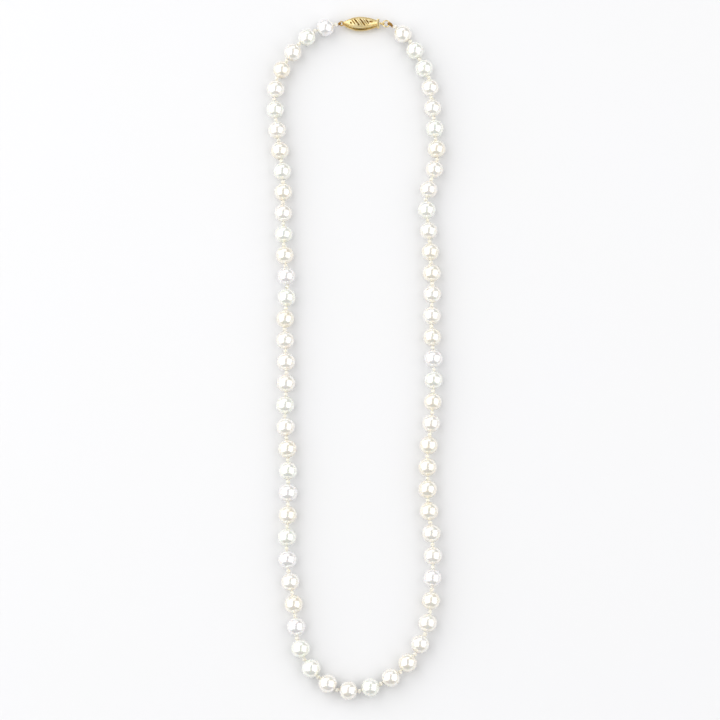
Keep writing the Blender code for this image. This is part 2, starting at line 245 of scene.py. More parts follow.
@dataclass(frozen=True)
class Silk:
    """Twisted beading silk, dyed cream: a soft fibre sheen and a darker twist line, which
    is painted shade of the grooves between the plies.
    """

    name: str = "silk_twisted_cream"
    light: str = "FCFAF3"
    # Painted shade: the darker colour stands in for the shade in the grooves between the
    # plies.
    shade: str = "F3ECDA"
    twist_mm: float = 0.34

    def build(self) -> bpy.types.Material:
        """Make the material.

        Returns:
            The material.
        """
        made, tree, shader = new_material(
            self.name,
            {
                "Roughness": 0.62,
                "Sheen Weight": 0.45,
                "Sheen Roughness": 0.35,
                "Subsurface Weight": 0.12,
                "Subsurface Radius": (1.0, 0.8, 0.5),
                "Subsurface Scale": 0.25 * MM,
                "Specular IOR Level": 0.35,
            },
        )
        place = add_node(tree, "TexCoord").outputs["Object"]
        strands = add_node(
            tree,
            "TexWave",
            {"bands_direction": "DIAGONAL"},
            {
                "Vector": place,
                "Scale": 1.0 / (self.twist_mm * MM) / 2.0,
                "Distortion": 1.5,
                "Detail": 2.0,
                "Detail Scale": 2.0,
            },
        ).outputs["Fac"]
        # Cream dye with painted shade: the darker wave bands stand in for the shade where
        # the plies meet.
        dye_and_twist_shade = add_node(
            tree,
            "Mix",
            COLOUR_MIX,
            {0: strands, 6: linear(self.shade), 7: linear(self.light)},
        ).outputs[2]
        tree.links.new(dye_and_twist_shade, shader.inputs["Base Color"])
        bump = add_node(
            tree, "Bump", inputs={"Height": strands, "Strength": 0.6, "Distance": 0.03 * MM}
        )
        tree.links.new(bump.outputs["Normal"], shader.inputs["Normal"])
        return made


class Polish(Enum):
    """How a gold part was finished: name, colours and roughness span."""

    MIRROR = ("gold_stamped_polished", "F8E7B4", "EBCB82", (0.14, 0.26))
    BRUSHED = ("gold_stamped_brushed", "FBEDC0", "F0D48C", (0.30, 0.44))
    SATIN = ("gold_tumbled_satin", "EBCB82", "C9993F", (0.22, 0.36))
    COILED = ("gilt_wire_coiled", "C79A48", "83591E", (0.22, 0.40))


@dataclass(frozen=True)
class Gold:
    """Yellow gold, stamped or drawn, then polished. Fine wipe marks break up its mirror."""

    polish: Polish
    cloud_mm: float = 1.6
    wipe_mm: float = 0.10

    def build(self) -> bpy.types.Material:
        """Make the material.

        Returns:
            The material.
        """
        name, light, shade, roughness = self.polish.value
        made, tree, shader = new_material(name, {"Metallic": 1.0})
        place = add_node(tree, "TexCoord").outputs["Object"]
        cloud = add_node(
            tree,
            "TexNoise",
            inputs={"Vector": place, "Scale": 1.0 / (self.cloud_mm * MM), "Detail": 4.0},
        ).outputs["Fac"]
        drawn_out = add_node(
            tree, "Mapping", inputs={"Vector": place, "Scale": (0.12, 1.0, 1.0)}
        ).outputs["Vector"]
        wipes = add_node(
            tree,
            "TexNoise",
            inputs={"Vector": drawn_out, "Scale": 1.0 / (self.wipe_mm * MM), "Detail": 2.0},
        ).outputs["Fac"]
        cloudy = add_node(
            tree, "MapRange", inputs=dict(enumerate((cloud, 0.3, 0.75, 0.0, 1.0)))
        ).outputs[0]
        toned = add_node(
            tree, "Mix", COLOUR_MIX, {0: cloudy, 6: linear(light), 7: linear(shade)}
        ).outputs[2]
        tree.links.new(toned, shader.inputs["Base Color"])
        gloss = add_node(
            tree, "MapRange", inputs=dict(enumerate((wipes, 0.3, 0.7, *roughness)))
        ).outputs[0]
        tree.links.new(gloss, shader.inputs["Roughness"])
        bump = add_node(
            tree, "Bump", inputs={"Height": wipes, "Strength": 0.25, "Distance": 0.01 * MM}
        )
        tree.links.new(bump.outputs["Normal"], shader.inputs["Normal"])
        return made


@dataclass(frozen=True)
class Tabletop:
    """Matt white card, sprayed smooth, with a very faint mottling."""

    light: str = "E5E5E5"
    cool: str = "E5E5E7"
    mottle_mm: float = 40.0

    def build(self) -> bpy.types.Material:
        """Make the material.

        Returns:
            The material.
        """
        made, tree, shader = new_material(
            "card_white_matt", {"Roughness": 0.9, "Specular IOR Level": 0.15}
        )
        place = add_node(tree, "TexCoord").outputs["Object"]
        mottle = add_node(
            tree,
            "TexNoise",
            inputs={"Vector": place, "Scale": 1.0 / (self.mottle_mm * MM), "Detail": 2.0},
        ).outputs["Fac"]
        mottled = add_node(
            tree,
            "Mix",
            COLOUR_MIX,
            {0: mottle, 6: linear(self.light), 7: linear(self.cool)},
        ).outputs[2]
        tree.links.new(mottled, shader.inputs["Base Color"])
        return made


# ---- mesh making --------------------------------------------------------------------
def add_object(name: str, data: bpy.types.ID | None) -> bpy.types.Object:
    """Put a new object in the scene.

    Args:
        name: Its name.
        data: Its mesh, curve, light or camera.

    Returns:
        The object.
    """
    made = bpy.data.objects.new(name, data)
    bpy.context.scene.collection.objects.link(made)
    return made


def evaluated_mesh(piece: bpy.types.Object) -> bpy.types.Mesh:
    """Work out a piece with its modifiers or curve settings.

    Args:
        piece: The object.

    Returns:
        A new mesh of what it shows.
    """
    bpy.context.view_layer.update()
    graph = bpy.context.evaluated_depsgraph_get()
    return bpy.data.meshes.new_from_object(piece.evaluated_get(graph))


def mesh_piece(
    name: str, vertices: Sequence[Vector | tuple[float, float, float]], faces: Faces
) -> bpy.types.Object:
    """Make a smooth mesh object with outward faces.

    Args:
        name: The piece's name.
        vertices: Its points.
        faces: Its faces, as point numbers.

    Returns:
        The new object, linked to the scene.
    """
    data = bpy.data.meshes.new(name)
    data.from_pydata([tuple(v) for v in vertices], [], faces)
    shell = bmesh.new()
    shell.from_mesh(data)
    bmesh.ops.recalc_face_normals(shell, faces=shell.faces)
    shell.to_mesh(data)
    shell.free()
    data.shade_smooth()
    return add_object(name, data)


def revolve(profile: Sequence[tuple[float, float]], segments: int) -> Skin:
    """Turn a profile about Z into a closed skin.

    Args:
        profile: Radius and height pairs; the first and last lie on the axis.
        segments: Faces round the axis.

    Returns:
        Points and faces.
    """
    vertices = [Vector((0.0, 0.0, profile[0][1]))]
    for radius, height in profile[1:-1]:
        for i in range(segments):
            angle = 2.0 * math.pi * i / segments
            vertices.append(
                Vector((radius * math.cos(angle), radius * math.sin(angle), height))
            )
    vertices.append(Vector((0.0, 0.0, profile[-1][1])))
    faces: Faces = []
    rows = len(profile) - 2
    for i in range(segments):
        j = (i + 1) % segments
        faces.append((0, 1 + i, 1 + j))
        for row in range(rows - 1):
            low, high = 1 + row * segments, 1 + (row + 1) * segments
            faces.append((low + i, high + i, high + j, low + j))
        last = 1 + (rows - 1) * segments
        faces.append((last + i, len(vertices) - 1, last + j))
    return vertices, faces


def sweep(
    path: Sequence[Vector],
    radius: Callable[[int, float], float],
    sides: int,
    closed: bool,
) -> Skin:
    """Carry a round section along a path without twist.

    Args:
        path: Points of the centre line.
        radius: Section radius for a point number and an angle.
        sides: Faces round the section.
        closed: True joins the last ring to the first; False caps both ends.

    Returns:
        Points and faces.
    """
    count = len(path)
    tangents: list[Vector] = []
    for i in range(count):
        ahead = path[(i + 1) % count] if closed or i < count - 1 else path[i]
        behind = path[i - 1] if closed or i > 0 else path[i]
        tangents.append((ahead - behind).normalized())
    start = UP if abs(tangents[0].dot(UP)) < 0.9 else Vector((1.0, 0.0, 0.0))
    side = tangents[0].cross(start).normalized()
    vertices: list[Vector] = []
    for i, point in enumerate(path):
        side = (side - tangents[i] * side.dot(tangents[i])).normalized()
        other = tangents[i].cross(side)
        for j in range(sides):
            angle = 2.0 * math.pi * j / sides
            reach = radius(i, angle)
            vertices.append(
                point + side * (reach * math.cos(angle)) + other * (reach * math.sin(angle))
            )
    faces: Faces = []
    for i in range(count if closed else count - 1):
        here, there = i * sides, ((i + 1) % count) * sides
        for j in range(sides):
            k = (j + 1) % sides
            faces.append((here + j, here + k, there + k, there + j))
    if not closed:
        faces.append(tuple(range(sides)))
        faces.append(tuple(range((count - 1) * sides, count * sides)))
    return vertices, faces


def circle(radius: float, count: int, start: float = 0.0) -> list[tuple[float, float]]:
    """Points round a circle about the origin, from a start angle on."""
    angles = [start + 2.0 * math.pi * i / count for i in range(count)]
    return [(radius * math.cos(angle), radius * math.sin(angle)) for angle in angles]


def join_skins(skins: Sequence[Skin]) -> Skin:
    """Put several skins into one list of points and faces.

    Args:
        skins: The skins.

    Returns:
        The joined skin.
    """
    vertices: list[Vector] = []
    faces: Faces = []
    for points, polygons in skins:
        base = len(vertices)
        vertices += points
        faces += [tuple(base + i for i in polygon) for polygon in polygons]
    return vertices, faces


def moved(skin: Skin, matrix: Matrix) -> Skin:
    """Carry a skin by a matrix."""
    return [matrix @ v for v in skin[0]], skin[1]


def apply_modifiers(piece: bpy.types.Object) -> None:
    """Replace a piece's mesh by its evaluated one and drop its modifiers.

    Args:
        piece: The object.
    """
    data = evaluated_mesh(piece)
    piece.modifiers.clear()
    piece.data = data


def place_along(start: Vector, end: Vector) -> Matrix:
    """A frame at start with Z pointing to end."""
    turn = (end - start).to_track_quat("Z", "Y").to_matrix().to_4x4()
    return Matrix.Translation(start) @ turn


def centre_of(node: str) -> Vector:
    """Middle of a node's box at rest."""
    low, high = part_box(node)
    return (low + high) / 2.0


@dataclass
class Dresser:
    """Gives a finished piece its material and body, and hides the nodes that it replaces.
    """

    materials: dict[str, bpy.types.Material] = field(default_factory=dict)

    def finish(
        self,
        piece: bpy.types.Object,
        material: str,
        body: str,
        slot: str,
        replaced: Sequence[str] = (),
    ) -> bpy.types.Object:
        """Dress one piece.

        Args:
            piece: The object.
            material: Name of one of the dresser's materials.
            body: The body it rides on.
            slot: The record's material slot; not used.
            replaced: CAD nodes that it stands for.

        Returns:
            The same object.
        """
        piece.data.materials.clear()
        piece.data.materials.append(self.materials[material])
        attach(piece, body)
        if replaced:
            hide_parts(*replaced)
        LOG.info("%s rides on %s in %s", piece.name, body, material)
        return piece


# ---- the strand ---------------------------------------------------------------------
PEARL_COUNT = 67
PEARL_RADIUS = 2.70 * MM
ROUTE_SAMPLES = 24

# Pearls per link from the jump ring round to the hook, as (links, pearls in each).
LINK_RUNS = [(1, 1), (12, 2), (16, 1), (8, 2), (10, 1)]

# Route of the strand on the table in millimetres, from the jump ring round to the hook.
ROUTE_MM = [
    (12.3, 100.9), (21.0, 90.3), (23.3, 75.1), (25.0, 59.9), (21.1, 44.6), (22.6, 30.5),
    (23.1, 16.4), (22.7, 2.3), (23.6, -11.8), (21.9, -26.4), (20.9, -41.0), (22.5, -55.9),
    (22.4, -71.0), (19.9, -86.0), (10.7, -97.6), (-4.0, -101.4), (-15.1, -91.5),
    (-17.6, -76.7), (-19.8, -62.3), (-19.6, -48.4), (-19.6, -34.4), (-20.7, -20.5),
    (-20.3, -6.5), (-21.0, 7.7), (-20.2, 22.2), (-21.9, 37.0), (-21.7, 52.2),
    (-24.5, 80.2), (-18.6, 93.2), (-12.6, 99.4), (-6.0, 101.6),
]


def smooth_route(points: Ring, samples: int) -> Ring:
    """Lay a Catmull-Rom curve through points.

    Args:
        points: The points.
        samples: Samples between two points.

    Returns:
        Close samples of the curve.
    """
    first = points[0] * 2.0 - points[1]
    last = points[-1] * 2.0 - points[-2]
    line = [first, *points, last]
    curve: Ring = []
    for a, b, c, d in zip(line, line[1:], line[2:], line[3:]):
        for i in range(samples):
            t = i / samples
            bend = 2.0 * b + (c - a) * t + (2.0 * a - 5.0 * b + 4.0 * c - d) * t**2
            curve.append((bend + (3.0 * b - a - 3.0 * c + d) * t**3) * 0.5)
    curve.append(points[-1])
    return curve


def point_at(curve: Ring, distance: float) -> Vector:
    """Find the point at a distance along a curve.

    Args:
        curve: Close samples of the curve.
        distance: How far along it.

    Returns:
        The point.
    """
    for a, b in zip(curve, curve[1:]):
        step = (b - a).length
        if distance <= step:
            return a.lerp(b, distance / step)
        distance -= step
    return curve[-1]


def strand_knots() -> Ring:
    """Space the knots evenly along the route.

    Returns:
        The knots from the jump ring's to the hook's, one more than there are pearls.
    """
    route = [Vector((x * MM, y * MM, PEARL_RADIUS)) for x, y in ROUTE_MM]
    curve = smooth_route(route, ROUTE_SAMPLES)
    length = sum((b - a).length for a, b in zip(curve, curve[1:]))
    return [point_at(curve, length * i / PEARL_COUNT) for i in range(PEARL_COUNT + 1)]


@dataclass(frozen=True)
class Link:
    """One link of the strand: its node and body, its ends and how many pearls it has."""

    node: str
    body: str
    start: Vector
    end: Vector
    pearls: int
    first: int


def read_links() -> list[Link]:
    """Lay the strand's links along its route, from the jump ring round to the hook.

    Returns:
        The links in order, each with the body that the frame puts its node in.
    """
    bodies = frame["record"]["behaviour"]["bodies"]
    body_of = {node: body for body, nodes in bodies.items() for node in nodes}
    knots = strand_knots()
    links: list[Link] = []
    first = 1
    for pearls in [size for links_here, size in LINK_RUNS for _ in range(links_here)]:
        last = first + pearls - 1
        node = f"pearl_{first:02d}" if pearls == 1 else f"pearls_{first:02d}_{last:02d}"
        start, end = knots[first - 1], knots[last]
        links.append(Link(node, body_of[node], start, end, pearls, first))
        first += pearls
    return links


@dataclass
class Pearl:
    """One drilled pearl, turned about its drill axis and then made slightly uneven."""

    radius: float = PEARL_RADIUS
    drill_radius: float = 0.34 * MM
    drill_depth: float = 1.1 * MM
    rim_radius: float = 0.13 * MM
    arcs: int = 44
    segments: int = 56
    unevenness: float = 0.0045
    ovalness: float = 0.012

    def profile(self) -> list[tuple[float, float]]:
        """Draw the half outline of a drilled pearl.

        Returns:
            Radius and height pairs from the upper drill hole to the lower.
        """
        edge = self.drill_radius + self.rim_radius
        opening = math.asin(edge / self.radius)
        lip = self.radius * math.cos(opening)
        bottom = lip - self.drill_depth
        upper = [(0.0, bottom), (self.drill_radius, bottom)]
        for i in range(5):
            turn = math.pi / 2.0 * i / 4.0
            upper.append(
                (
                    edge - self.rim_radius * math.cos(turn),
                    lip - self.rim_radius * (1.0 - math.sin(turn)),
                )
            )
        arc = [
            (self.radius * math.sin(a), self.radius * math.cos(a))
            for a in (
                opening + (math.pi - 2.0 * opening) * i / self.arcs
                for i in range(1, self.arcs)
            )
        ]
        lower = [(r, -z) for r, z in reversed(upper)]
        return upper + arc + lower

    def build(self, name: str, rng: random.Random) -> bpy.types.Object:
        """Make one pearl centred on the origin, drilled along Z.

        Args:
            name: The piece's name.
            rng: Source of its size and shape.

        Returns:
            The pearl.
        """
        vertices, faces = revolve(self.profile(), self.segments)
        waves = [
            (
                Vector([rng.uniform(-1.0, 1.0) for _ in range(3)]).normalized()
                * rng.uniform(1.2, 3.4),
                rng.uniform(0.0, 2.0 * math.pi),
            )
            for _ in range(6)
        ]
        oval = rng.uniform(-self.ovalness, self.ovalness)
        size = 1.0 + rng.uniform(-0.018, 0.012)
        for vertex in vertices:
            away = vertex.normalized()
            swell = sum(math.cos(axis.dot(away) * 2.0 + phase) for axis, phase in waves)
            swell *= self.unevenness / 2.0
            vertex *= size * (1.0 + swell + oval * (away.z**2 - 0.5))
        return mesh_piece(name, vertices, faces)


@dataclass
class SilkCord:
    """The silk: two-ply thread with an overhand knot beside each pearl."""

    thread_radius: float = 0.25 * MM
    ply_depth: float = 0.16
    ply_pitch: float = 1.1 * MM
    step: float = 0.10 * MM
    sides: int = 10
    knot_tube: float = 0.215 * MM
    knot_size: float = 0.150 * MM
    knot_points: int = 60

    def thread(self, start: Vector, end: Vector) -> Skin:
        """Make a two-ply thread.

        Args:
            start: Where it starts.
            end: Where it ends.

        Returns:
            Points and faces.
        """
        length = (end - start).length
        count = max(3, int(length / self.step))
        path = [start.lerp(end, i / (count - 1)) for i in range(count)]
        turn = 2.0 * math.pi * length / (count - 1) / self.ply_pitch

        def radius(i: int, angle: float) -> float:
            """The radius at a point and angle, fuller along the two plies."""
            lobes = math.cos(2.0 * (angle - turn * i / 2.0))
            return self.thread_radius * (1.0 + self.ply_depth * (lobes - 0.5))

        return sweep(path, radius, self.sides, closed=False)

    def knot(self, centre: Vector, along: Vector, rng: random.Random) -> Skin:
        """An overhand knot pulled tight round the thread's line.

        Args:
            centre: Where the knot sits.
            along: Direction of the thread.
            rng: Source of its turn and tightness.

        Returns:
            Points and faces.
        """
        size = self.knot_size * rng.uniform(0.92, 1.06)
        path: Ring = []
        for i in range(self.knot_points):
            t = 2.0 * math.pi * i / self.knot_points
            reach = 2.0 + math.cos(3.0 * t)
            path.append(
                Vector(
                    (
                        size * reach * math.cos(2.0 * t),
                        size * reach * math.sin(2.0 * t),
                        1.75 * size * math.sin(3.0 * t),
                    )
                )
            )
        skin = sweep(path, lambda i, angle: self.knot_tube, self.sides, closed=True)
        turn = Matrix.Rotation(rng.uniform(0.0, 2.0 * math.pi), 4, "Z")
        lean = Matrix.Rotation(rng.uniform(-0.25, 0.25), 4, "X")
        return moved(skin, place_along(centre, centre + along) @ lean @ turn)


@dataclass
class Strand:
    """All pearls with the silk that carries them."""

    dresser: Dresser
    pearl: Pearl = field(default_factory=Pearl)
    cord: SilkCord = field(default_factory=SilkCord)
    seed: int = 67

    def build(self) -> None:
        """Make every pearl and the silk of every link."""
        rng = random.Random(self.seed)
        tones = list(Overtone)
        for link in read_links():
            along = (link.end - link.start).normalized()
            skins = [self.cord.thread(link.start, link.end)]
            for i in range(link.pearls):
                share = (i + 0.5) / link.pearls
                centre = link.start.lerp(link.end, share)
                number = link.first + i
                piece = self.pearl.build(f"round_pearl_{number:02d}", rng)
                turn = Matrix.Rotation(rng.uniform(0.0, 2.0 * math.pi), 4, "Z")
                piece.matrix_world = place_along(centre, centre + along) @ turn
                tone = rng.choices(tones, weights=(5, 3, 3, 2))[0]
                replaced = [link.node] if i == 0 else []
                self.dresser.finish(piece, tone.name, link.body, "nacre", replaced)
                knot_at = link.start.lerp(link.end, i / link.pearls)
                skins.append(self.cord.knot(knot_at, along, rng))
            silk = mesh_piece(f"silk_at_pearl_{link.first:02d}", *join_skins(skins))
            self.dresser.finish(silk, "SILK", link.body, "silk")


# ---- the clasp ----------------------------------------------------------------------
@dataclass(frozen=True)
class Piercing:
    """One opening in the top of the case: its middle, length, width and slant."""

    x: float
    y: float
    length: float
    width: float
    slant: float = math.radians(36.0)


@dataclass
class CaseForm:
    """The marquise form of the case, read from the CAD boxes of its two shells."""

    mouth_half_width: float = 0.42 * MM
    back_half_width: float = 1.05 * MM
    end_rise: float = 0.95 * MM
    wall: float = 0.20 * MM
    top_inset: float = 0.46 * MM
    top_shift: float = 0.12 * MM
    inset_limit: float = 0.45  # largest inset as a share of the half width
    shoulder: float = 0.62  # below 1 the side stands up more steeply
    stations: int = 72
    arc_steps: int = 36

    def __post_init__(self) -> None:
        """Read the case's size and seam from the frame."""
        top_low, top_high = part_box("case_top")
        base_low, base_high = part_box("case_base")
        self.mouth_x = top_low.x
        self.back_x = top_high.x
        self.y = (top_low.y + top_high.y) / 2.0
        self.half_width = (top_high.y - top_low.y) / 2.0
        self.rim_top = top_low.z
        self.rim_base = base_high.z
        self.rise = top_high.z - top_low.z
        self.depth = base_high.z - base_low.z
        self.middle_z = (self.rim_top + self.rim_base) / 2.0

    def swell(self, x: float) -> float:
        """Work out how far the case has swelled at x.

        Args:
            x: Place along the case.

        Returns:
            0 at both ends and 1 in the middle.
        """
        middle = (self.mouth_x + self.back_x) / 2.0
        half = (self.back_x - self.mouth_x) / 2.0
        return 1.0 - ((x - middle) / half) ** 2

    def half_width_at(self, x: float) -> float:
        """Work out the half width of the rim.

        Args:
            x: Place along the case.

        Returns:
            The half width.
        """
        along = (x - self.mouth_x) / (self.back_x - self.mouth_x)
        widening = self.back_half_width - self.mouth_half_width
        ends = self.mouth_half_width + widening * along
        return ends + (self.half_width - ends) * self.swell(x)

    def rise_at(self, x: float, full: float) -> float:
        """Height of the section at x for a shell of the given full height."""
        end = min(self.end_rise, full)
        return end + (full - end) * self.swell(x)

    def section(
        self, x: float, angle: float, full: float, inset: float
    ) -> tuple[float, float]:
        """Across and up from the rim's middle on the shell's skin.

        The side stands up steeply to a shoulder, and the crown is gently domed.

        Args:
            x: Place along the case.
            angle: Turn from one rim at 0 over the crown to the other rim.
            full: The shell's full height.
            inset: How far the shell lies inside the rim.

        Returns:
            How far across and how far up.
        """
        inset = min(inset, self.inset_limit * self.half_width_at(x))
        across = (self.half_width_at(x) - inset) * math.cos(angle)
        up = self.rise_at(x, full) * math.sin(angle) ** self.shoulder
        return across, up

    def shift(self, inset: float) -> float:
        """How far an inset shell sits towards the back of the case."""
        return self.top_shift if inset >= self.top_inset else 0.0

    def there_and_back(
        self, first: float, last: float, count: int
    ) -> list[tuple[float, float]]:
        """Stations along one side of the case and home along the other.

        They stand closer together towards both ends.

        Args:
            first: Where the stations start.
            last: Where they turn round.
            count: Stations on each side.

        Returns:
            The side, 1 or -1, and the x of each station.
        """
        stops: list[tuple[float, float]] = []
        for side in (1.0, -1.0):
            for i in range(count):
                share = (1.0 - side * math.cos(math.pi * i / (count - 1))) / 2.0
                stops.append((side, first + (last - first) * share))
        return stops

    def outline(self, inset: float, count: int) -> Ring:
        """Draw a closed marquise line at height zero.

        Args:
            inset: How far it lies inside the rim.
            count: Points on each side.

        Returns:
            The line.
        """
        points: Ring = []
        for side, x in self.there_and_back(self.mouth_x, self.back_x, count):
            full = self.half_width_at(x)
            width = full - min(inset, self.inset_limit * full)
            points.append(Vector((x, self.y + self.shift(inset) + side * width, 0.0)))
        return points

    def shell(self, name: str, side: float, full: float, flat: float) -> bpy.types.Object:
        """One stamped shell of the case with its wall.

        Args:
            name: The piece's name.
            side: 1 for the top, -1 for the base.
            full: The shell's full height.
            flat: Share of the height at which the crown is pressed flat.

        Returns:
            The shell.
        """
        rim = self.rim_top if side > 0.0 else self.rim_base
        inset = self.top_inset if side > 0.0 else 0.0
        vertices: Ring = []
        for i in range(self.stations + 1):
            x = self.mouth_x + (self.back_x - self.mouth_x) * i / self.stations
            for j in range(self.arc_steps + 1):
                across, up = self.section(x, math.pi * j / self.arc_steps, full, inset)
                up = min(up, full * flat)
                y = self.y + self.shift(inset) + side * across
                vertices.append(Vector((x, y, rim + side * up)))
        row = self.arc_steps + 1
        faces: Faces = [
            (i * row + j, i * row + j + 1, (i + 1) * row + j + 1, (i + 1) * row + j)
            for i in range(self.stations)
            for j in range(self.arc_steps)
        ]
        data = bpy.data.meshes.new(name)
        data.from_pydata([tuple(v) for v in vertices], [], faces)
        made = add_object(name, data)
        wall = made.modifiers.new("wall", "SOLIDIFY")
        wall.thickness = self.wall
        wall.offset = -1.0
        return made


@dataclass
class Clasp:
    """The fish-hook clasp: pierced marquise case, hook, ring and coiled wire loops."""

    dresser: Dresser
    form: CaseForm = field(default_factory=CaseForm)
    piercings: tuple[Piercing, ...] = (
        Piercing(-2.90 * MM, -0.25 * MM, 0.85 * MM, 0.48 * MM),
        Piercing(-2.12 * MM, -0.02 * MM, 2.00 * MM, 0.34 * MM),
        Piercing(-1.14 * MM, 0.00 * MM, 2.60 * MM, 0.52 * MM),
        Piercing(-0.28 * MM, 0.02 * MM, 2.60 * MM, 0.18 * MM),
        Piercing(0.55 * MM, 0.03 * MM, 2.70 * MM, 0.46 * MM),
        Piercing(1.42 * MM, 0.08 * MM, 2.40 * MM, 0.22 * MM),
        Piercing(2.15 * MM, 0.12 * MM, 1.85 * MM, 0.42 * MM),
        Piercing(3.25 * MM, 0.12 * MM, 1.05 * MM, 0.66 * MM, math.radians(88.0)),
    )
    bead_radius: float = 0.10 * MM
    rim_radius: float = 0.12 * MM
    rim_lift: float = 0.05 * MM
    crown_wire_angle: float = math.radians(41.0)
    crown_wire_end: float = 0.25 * MM
    base_swell: float = 1.12  # height of the base before its crown is pressed flat
    tongue_half_width: float = 0.55 * MM
    tongue_thickness: float = 0.30 * MM
    eye_edge: float = 0.30 * MM
    barb_length: float = 0.25 * MM
    leaf_thickness: float = 0.18 * MM
    leaf_lip: float = 0.20 * MM

    def build(self) -> None:
        """Make every piece of the clasp."""
        self.case_top()
        self.case_base()
        self.case_rims()
        self.case_end()
        self.catch_bar()
        self.hook()
        self.thumb_leaf()
        self.jump_ring()
        self.bullions()

    @property
    def middle_x(self) -> float:
        """Middle of the case's length."""
        return (self.form.mouth_x + self.form.back_x) / 2.0

    def cutter(self, piercing: Piercing) -> bpy.types.Object:
        """Make a slanted round-ended bar that passes down through the crown.

        Args:
            piercing: The opening to cut.

        Returns:
            The bar.
        """
        half = piercing.width / 2.0
        run = max(piercing.length / 2.0 - half, 0.0)
        steps = 10
        outline: list[tuple[float, float]] = []
        for end in (1.0, -1.0):
            for i in range(steps + 1):
                angle = math.pi * i / steps
                outline.append(
                    (
                        end * half * math.cos(angle),
                        end * (run + half * math.sin(angle)),
                    )
                )
        count = len(outline)
        low = self.form.rim_top + 0.35 * self.form.rise
        high = self.form.rim_top + 1.4 * self.form.rise
        vertices = [Vector((x, y, z)) for z in (low, high) for x, y in outline]
        faces: Faces = [tuple(reversed(range(count))), tuple(range(count, 2 * count))]
        for i in range(count):
            j = (i + 1) % count
            faces.append((i, j, count + j, count + i))
        made = mesh_piece("piercing_cutter", vertices, faces)
        made.matrix_world = Matrix.Translation(
            (self.middle_x + piercing.x, self.form.y + piercing.y, 0.0)
        ) @ Matrix.Rotation(piercing.slant, 4, "Z")
        return made

    def case_top(self) -> None:
        """The pierced upper shell with softened edges."""
        top = self.form.shell("case_pierced_top", 1.0, self.form.rise, 1.0)
        cutters = [self.cutter(piercing) for piercing in self.piercings]
        for cutter in cutters:
            cut = top.modifiers.new("piercing", "BOOLEAN")
            cut.operation = "DIFFERENCE"
            cut.solver = "EXACT"
            cut.object = cutter
        apply_modifiers(top)
        for cutter in cutters:
            bpy.data.objects.remove(cutter, do_unlink=True)
        soften(top, 0.06 * MM)
        self.dresser.finish(top, "BRUSHED", "case", "gold", ["case_top"])

    def case_base(self) -> None:
        """The plain lower shell, pressed flat underneath."""
        full = self.form.depth * self.base_swell
        base = self.form.shell("case_plain_base", -1.0, full, self.form.depth / full)
        apply_modifiers(base)
        soften(base, 0.03 * MM)
        self.dresser.finish(base, "MIRROR", "case", "gold", ["case_base"])

    def case_rims(self) -> None:
        """Bright rolled edges: one on each side of the seam and one round the crown."""
        count = 60
        form = self.form
        for name, height, inset in (
            ("case_top_rolled_edge", form.rim_top + self.rim_lift, form.top_inset),
            ("case_base_rolled_edge", form.rim_base + self.rim_lift, self.rim_radius * 0.6),
        ):
            path = [p + UP * height for p in form.outline(inset, count)]
            skin = sweep(path, lambda i, angle: self.rim_radius, 10, closed=True)
            self.dresser.finish(mesh_piece(name, *skin), "MIRROR", "case", "gold")
        first = form.mouth_x + self.crown_wire_end
        last = form.back_x - self.crown_wire_end
        path = []
        for side, x in form.there_and_back(first, last, count):
            across, up = form.section(x, self.crown_wire_angle, form.rise, form.top_inset)
            y = form.y + form.top_shift + side * across
            path.append(Vector((x, y, form.rim_top + up)))
        skin = sweep(path, lambda i, angle: self.bead_radius, 8, closed=True)
        self.dresser.finish(
            mesh_piece("case_crown_wire", *skin), "MIRROR", "case", "gold"
        )

    def case_end(self) -> None:
        """The squared end block with the fixed eye soldered to it."""
        low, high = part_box("case_end_block")
        low.x = self.form.back_x - 0.05 * MM
        block = rounded_block("case_end_block_polished", low, high, 0.10 * MM)
        self.dresser.finish(block, "MIRROR", "case", "gold", ["case_end_block"])

        eye_low, eye_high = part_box("case_eye")
        centre = (eye_low + eye_high) / 2.0
        wire = (eye_high.y - eye_low.y) / 2.0
        radius = (eye_high.x - eye_low.x) / 2.0 - wire
        path = [centre + Vector((x, 0.0, z)) for x, z in circle(radius, 48)]
        eye = sweep(path, lambda i, angle: wire, 12, closed=True)
        swells = (1.9, 1.45, 1.15, 1.0)
        foot_path = [
            Vector((high.x + (0.12 * i - 0.05) * MM, centre.y, centre.z))
            for i in range(len(swells))
        ]
        foot = sweep(foot_path, lambda i, angle: wire * swells[i], 12, closed=False)
        piece = mesh_piece("case_soldered_eye", *join_skins([eye, foot]))
        self.dresser.finish(piece, "MIRROR", "case", "gold", ["case_eye"])

    def catch_bar(self) -> None:
        """The cross bar inside the case that the hook goes round."""
        low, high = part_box("catch_bar")
        centre = (low + high) / 2.0
        reach = (high.y - low.y) / 2.0 + 0.2 * MM
        radius = (high.z - low.z) / 2.0
        path = [centre + Vector((0.0, reach * s, 0.0)) for s in (-1.0, -0.5, 0.0, 0.5, 1.0)]
        skin = sweep(path, lambda i, angle: radius, 16, closed=False)
        piece = mesh_piece("case_catch_bar", *skin)
        self.dresser.finish(piece, "SATIN", "case", "gold", ["catch_bar"])

